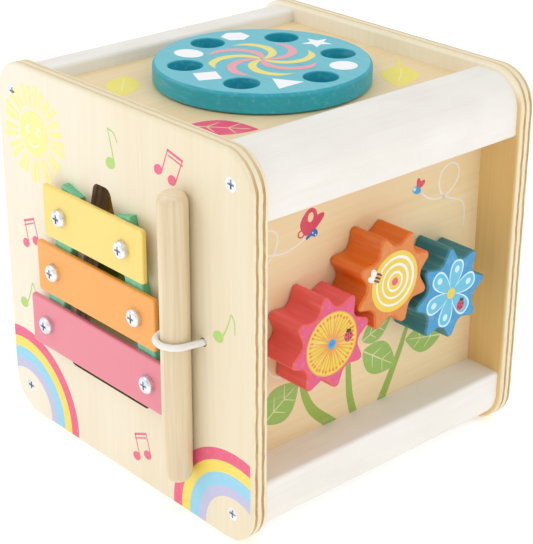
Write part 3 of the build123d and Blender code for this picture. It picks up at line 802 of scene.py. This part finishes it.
def gear_board_prints():
    """Stems that rise from the bottom rail to the gears, leaves, and two insects with their flight trails."""
    plane = face((cabinet_x, gear_board_front, 0), (1, 0, 0), (0, 0, 1))
    pink_stem = [(-36.5, 79), (-39, 70), (-39.5, 62), (-37, 53), (-31.5, 44), (-20.5, 33.7), (-14, 27)]
    orange_stem = [(1, 98), (-3.5, 89), (-7, 78), (-8.4, 66), (-8, 55), (-6.8, 44), (-4.0, 33.7), (-2.5, 28)]
    blue_stem = [(41.5, 82), (33.5, 69), (29, 58), (23, 46), (16.7, 33.7), (14, 28)]
    stems = [stroke(pink_stem, 2.2, 7.2), stroke(orange_stem, 1.8, 5.4), stroke(blue_stem, 1.8, 6.4)]
    window_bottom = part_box("bottom_front_rail")[1].z / MM
    window_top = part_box("top_front_rail")[0].z / MM
    half = (right_low.x - left_high.x) / MM / 2
    window = [(-half, window_bottom), (half, window_bottom), (half, window_top), (-half, window_top)]
    stems = [[clipped(outline, window) for outline in stem] for stem in stems]
    printed("flower_stems", "cube", "stem_green", plane, stems)
    leaf_ends = (
        ((-42.5, 64.5), (-65, 50), 21),
        ((26, 50), (2, 66), 18),
        ((21, 79), (1, 72), 13),
        ((33, 62), (60, 56), 17),
    )
    leaves, ribs = [], []
    for tip, base, width in leaf_ends:
        leaves.append([leaf(tip, base, width, 0.55)])
        ribs += veins(tip, base, width * 0.32, 2, 0.8)
    printed("flower_leaves", "cube", "leaf_green", plane, leaves, 1)
    printed("flower_leaf_veins", "cube", "leaf_vein", plane, ribs, 2)
    looped_trail = [
        (40, 141.5), (45.5, 137.5), (53, 135.4), (60.5, 137), (66.5, 142.5), (66.5, 149.5), (60.5, 152.6),
        (54, 149), (52.8, 142), (56.5, 136), (64, 132.5), (70.5, 129.5), (73.2, 123.5), (72.8, 115),
    ]
    trails = [
        stroke([(-39.5, 140), (-46, 137.6), (-54, 136.4), (-63, 138)], 1.1, 1.0),
        stroke([(-64, 151), (-59, 149), (-57, 144.5), (-59, 138.5), (-64, 133)], 1.1, 1.0),
        stroke([(-64, 82), (-60.5, 75), (-56, 72), (-52, 71)], 1.0, 0.9),
        stroke(looped_trail, 1.1, 1.2),
    ]
    printed("flight_trails", "cube", "trail", plane, trails)
    wing = [
        (-40.2, 141.9), (-42.4, 145.3), (-42.8, 148.1), (-41.4, 150.8), (-39.1, 153.3), (-36.3, 154.5),
        (-34.1, 154.0), (-32.4, 152.1), (-31.9, 150.1), (-29.8, 150.4), (-27.7, 150.1), (-27.4, 148.8),
        (-28.9, 146.7), (-31.6, 144.3), (-33.4, 143.0), (-35.6, 142.0), (-38.0, 141.2),
    ]
    butterfly = [
        [rounded(wing, steps=4), oval(-36.2, 149.9, 1.9, 2.5, -8)[::-1]],
        [oval(-42.1, 142.9, 2.3, 2.1), oval(-42.1, 142.9, 1.5, 1.4)[::-1]],
    ]
    printed("butterfly_wings", "cube", "crimson", plane, butterfly, 1)
    body = [
        (-39.1, 139.8), (-38.4, 139.1), (-35.6, 140.2), (-33.7, 139.3), (-32.0, 139.7), (-31.5, 141.0),
        (-32.3, 142.7), (-33.8, 143.4), (-35.3, 142.9), (-36.3, 141.9), (-38.4, 140.8),
    ]
    printed("butterfly_body", "cube", "dark_blue", plane, [[rounded(body, steps=4)]], 2)
    dots = [[oval(-34.8, 141.7, 0.45, 0.5)], [oval(-33.0, 140.2, 0.5, 0.4)]]
    printed("butterfly_dots", "cube", "petal_edge", plane, dots, 3)
    bug_wings = [
        (36.4, 145.5), (36.2, 149.4), (37.6, 150.4), (39, 148.4), (41.4, 148.6), (41.9, 146.9), (39.4, 145),
    ]
    printed("bug_wings", "cube", "crimson", plane, [[rounded(bug_wings)]], 1)
    printed("bug_body", "cube", "hub_blue", plane, [[oval(36.2, 144.2, 3.2, 1.9, -25)]], 2)
    printed("bug_shine", "cube", "petal_edge", plane, [[oval(34.4, 145.2, 1.2, 1.0, -25)]], 3)


def top_board_prints():
    """Leaves that lie round the disc."""
    plane = face((cabinet_x, 0, top_board_high.z), (1, 0, 0), (0, 1, 0))
    yellow_leaves = (((-69.5, 25.5), (-48.5, 50), 17), ((43.5, -52.5), (69.5, -29.5), 19))
    shapes = [[leaf(tip, base, width, 0.55)] for tip, base, width in yellow_leaves]
    shapes.append(stroke([(68, -30), (73, -25), (78, -19.5)], 2.2, 1.6))
    printed("top_yellow_leaves", "cube", "leaf_yellow", plane, shapes)
    rib_lines = ([(-64, 32), (-58, 39), (-51, 47)], [(49, -47), (57, -41), (66, -33)])
    ribs = [stroke(line, 0.5, 0.7) for line in rib_lines]
    printed("top_leaf_ribs", "cube", "sun", plane, ribs, 1)
    pink_tip, pink_base = (-50, -53.5), (-72, -28)
    pink_leaf = [[leaf(pink_tip, pink_base, 20, 0.55)]]
    printed("top_pink_leaf", "cube", "leaf_pink", plane, pink_leaf)
    pink_veins = veins(pink_tip, pink_base, 6.5, 2, 0.9)
    printed("top_pink_leaf_veins", "cube", "leaf_vein", plane, pink_veins, 1)


blocks = {
    "circle": ("green_paint", (118, 184, 82)),
    "square": ("blue_paint", (58, 150, 212)),
    "triangle": ("red_paint", (222, 66, 70)),
    "star": ("yellow_paint", (240, 204, 84)),
    "oval": ("pink_paint", (232, 108, 148)),
    "hexagon": ("orange_paint", (240, 148, 66)),
}
ring_near, ring_far = 2.6, 4.6  # mm from a block to the two sides of the ring round its opening


def block_outline(shape, x, y, grow):
    """A block's outline seen from outside, grown all round."""
    low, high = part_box(f"{shape}_block")
    half_width, half_height = (high.x - low.x) / MM / 2, (high.z - low.z) / MM / 2
    if shape in ("circle", "oval"):
        return oval(x, y, half_width + grow, half_height + grow)
    if shape == "square":
        return regular(x, y, [(half_width + grow) / cos(pi / 4)] * 4, 45)
    if shape == "triangle":
        return regular(x, y, [(half_width + 1.5) / cos(pi / 6) + 2 * grow] * 3, 90)
    if shape == "hexagon":
        return regular(x, y, [(half_width + grow) / cos(pi / 6)] * 6, 90)
    return regular(x, y, [21.5 + 1.7 * grow, 11.5 + 1.2 * grow] * 5, 90)


def sorter_board_prints():
    """A ring round each opening, in its block's colour and level with its row."""
    plane = face((cabinet_x, sorter_board_back, 0), (-1, 0, 0), (0, 0, 1))
    for shape, (slot, _) in blocks.items():
        low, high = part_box(f"{shape}_block")
        x = -((low.x + high.x) / 2 - cabinet_x) / MM
        row_low, row_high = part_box("circle_block" if low.z < cabinet_top / 2 else "oval_block")
        y = (row_low.z + row_high.z) / 2 / MM
        ring = [[block_outline(shape, x, y, ring_far), block_outline(shape, x, y, ring_near)[::-1]]]
        printed(f"{shape}_opening_ring", "cube", f"{shape}_ring", plane, ring)


def make_inks():
    """Every ink by its name."""
    colours = {
        "sun": (249, 236, 150), "pale_line": (252, 250, 232),
        "pink_band": (232, 92, 128), "yellow_band": (246, 220, 92), "sky_band": (146, 210, 236),
        "lavender_band": (192, 192, 224), "note_green": (176, 212, 112), "note_pink": (230, 100, 132),
        "white": (248, 248, 250), "swirl_yellow": (238, 222, 118), "swirl_pink": (234, 160, 168),
        "gear_yellow": (230, 200, 62), "ray_orange": (228, 148, 58), "ray_head": (226, 122, 44),
        "hub_blue": (42, 160, 214), "dark_blue": (34, 104, 180), "ladybird_red": (214, 62, 98),
        "dark": (66, 28, 30),
        "ring_white": (242, 234, 228), "gear_pink": (224, 76, 108), "bee_gold": (232, 150, 60),
        "petal_edge": (196, 230, 240), "petal_blue": (94, 186, 216), "stem_green": (146, 174, 62),
        "leaf_green": (146, 184, 82), "leaf_vein": (222, 218, 160), "trail": (236, 228, 212),
        "crimson": (214, 58, 88), "leaf_yellow": (240, 226, 104), "leaf_pink": (232, 78, 118),
    }
    colours.update({f"{shape}_ring": rgb for shape, (_, rgb) in blocks.items()})
    return {name: ink(f"{name}_ink", srgb(*rgb)) for name, rgb in colours.items()}


# ---- materials on the CAD nodes ---------------------------------------------------------------------


def give(material, *names):
    """Puts a material on CAD nodes."""
    for name in names:
        nodes[name].data.materials[0] = material


def finish_cad_nodes():
    pink_low, pink_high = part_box("pink_bar")
    yellow_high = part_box("yellow_bar")[1]
    slot_walls = ((pink_low.y, pink_high.y), (pink_low.z - 10 * MM, yellow_high.z + 12 * MM))
    pale, deep = srgb(235, 224, 196), srgb(226, 208, 168)
    give(plywood("left_ply", pale, deep, "Z", left_low.x, left_high.x, slot_walls), "left_panel")
    # The right panel's wood is paler than the left's: painted light that lifts its shaded inner face.
    pale, deep = srgb(247, 238, 216), srgb(238, 222, 188)
    give(plywood("right_ply", pale, deep, "Z", right_high.x, right_low.x), "right_panel")
    warm_pale, warm_deep = srgb(241, 221, 180), srgb(230, 203, 154)
    give(birch_face("gear_board_birch", warm_pale, warm_deep, "X", 1.0), "gear_board")
    give(birch_face("top_board_birch", warm_pale, warm_deep, "X", 5.0), "top_board")
    give(birch_face("sorter_board_birch", warm_pale, warm_deep, "X", 9.0), "sorter_board")
    rails = ("top_front_rail", "top_back_rail", "bottom_front_rail", "bottom_back_rail")
    give(white_rail_paint("rail_white"), *rails)
    # The darker teal on the disc's rim and on the walls of its finger holes is painted shade.
    give(painted("disc_teal", srgb(98, 191, 207), "Y", 0.44, srgb(30, 162, 181), "Z", 0.7), "turn_disc")
    give(painted("pink_gear_paint", srgb(220, 80, 124), "Y", 0.42, srgb(240, 95, 97)), "pink_gear")
    give(painted("orange_gear_paint", srgb(218, 128, 50), "Y", 0.42, srgb(228, 112, 20)), "orange_gear")
    give(painted("blue_gear_paint", srgb(54, 148, 200), "Y", 0.42, srgb(44, 126, 136)), "blue_gear")
    # The slightly darker green on the strips' sides and ends is painted shade.
    strip_green = painted("strip_green", srgb(124, 204, 168), "Z", 0.45, srgb(112, 198, 152), "X")
    give(strip_green, "front_strip", "back_strip")
    give(enamel("yellow_enamel", srgb(246, 214, 112)), "yellow_bar")
    give(enamel("orange_enamel", srgb(242, 163, 66)), "orange_bar")
    give(enamel("pink_enamel", srgb(226, 126, 142)), "pink_bar")
    screws = ["left_panel_screws", "right_panel_screws", "bar_screws"]
    for part in ("disc", "pink_gear", "orange_gear", "blue_gear"):
        screws += [f"{part}_screw", f"{part}_washer"]
    give(steel("zinc_steel"), *screws)
    beater_low, beater_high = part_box("beater")
    beater_middle = (beater_low + beater_high) / 2
    give(dowel_wood("beater_dowel", srgb(244, 233, 206), srgb(206, 177, 128), beater_middle), "beater")
    axles = ("disc_axle", "pink_gear_axle", "orange_gear_axle", "blue_gear_axle")
    give(birch_face("axle_beech", srgb(232, 206, 160), srgb(208, 172, 120), "Z", 3.0), *axles)
    give(woven_elastic("elastic_weave"), "elastic_loop", "elastic_knots")
    give(felt("grey_felt", srgb(226, 222, 214)), "bar_felts", "gear_spacers", "disc_spacer")
    for shape, (_, rgb) in blocks.items():
        paint = painted(f"{shape}_block_paint", srgb(*rgb), "Y", 0.45, grain_strength=0.45)
        give(paint, f"{shape}_block")


# ---- floor ----------------------------------------------------------------------------------------


floor_glow = 0.26               # so that the pale floor stays white round the cube
floor_half = 6.0


def add_floor():
    shader = Shader("pale_floor")
    soft = shader.noise((6, 6, 6), 2.0)
    tone = shader.mix(soft, srgb(251, 251, 251), srgb(255, 255, 255))
    material = shader.finish(tone, 0.7, Emission_Color=(1, 1, 1, 1), Emission_Strength=floor_glow)
    corners = [(x * floor_half, y * floor_half, 0) for x, y in ((-1, -1), (1, -1), (1, 1), (-1, 1))]
    data = bpy.data.meshes.new("floor")
    data.from_pydata(corners, [], [(0, 1, 2, 3)])
    data.materials.append(material)
    floor = bpy.data.objects.new("floor", data)
    bpy.context.scene.collection.objects.link(floor)


add_camera()
add_studio()
add_floor()
finish_cad_nodes()
inks = make_inks()
left_panel_prints()
right_panel_prints()
disc_prints()
pink_gear_prints()
orange_gear_prints()
blue_gear_prints()
gear_board_prints()
top_board_prints()
sorter_board_prints()

bpy.context.view_layer.update()
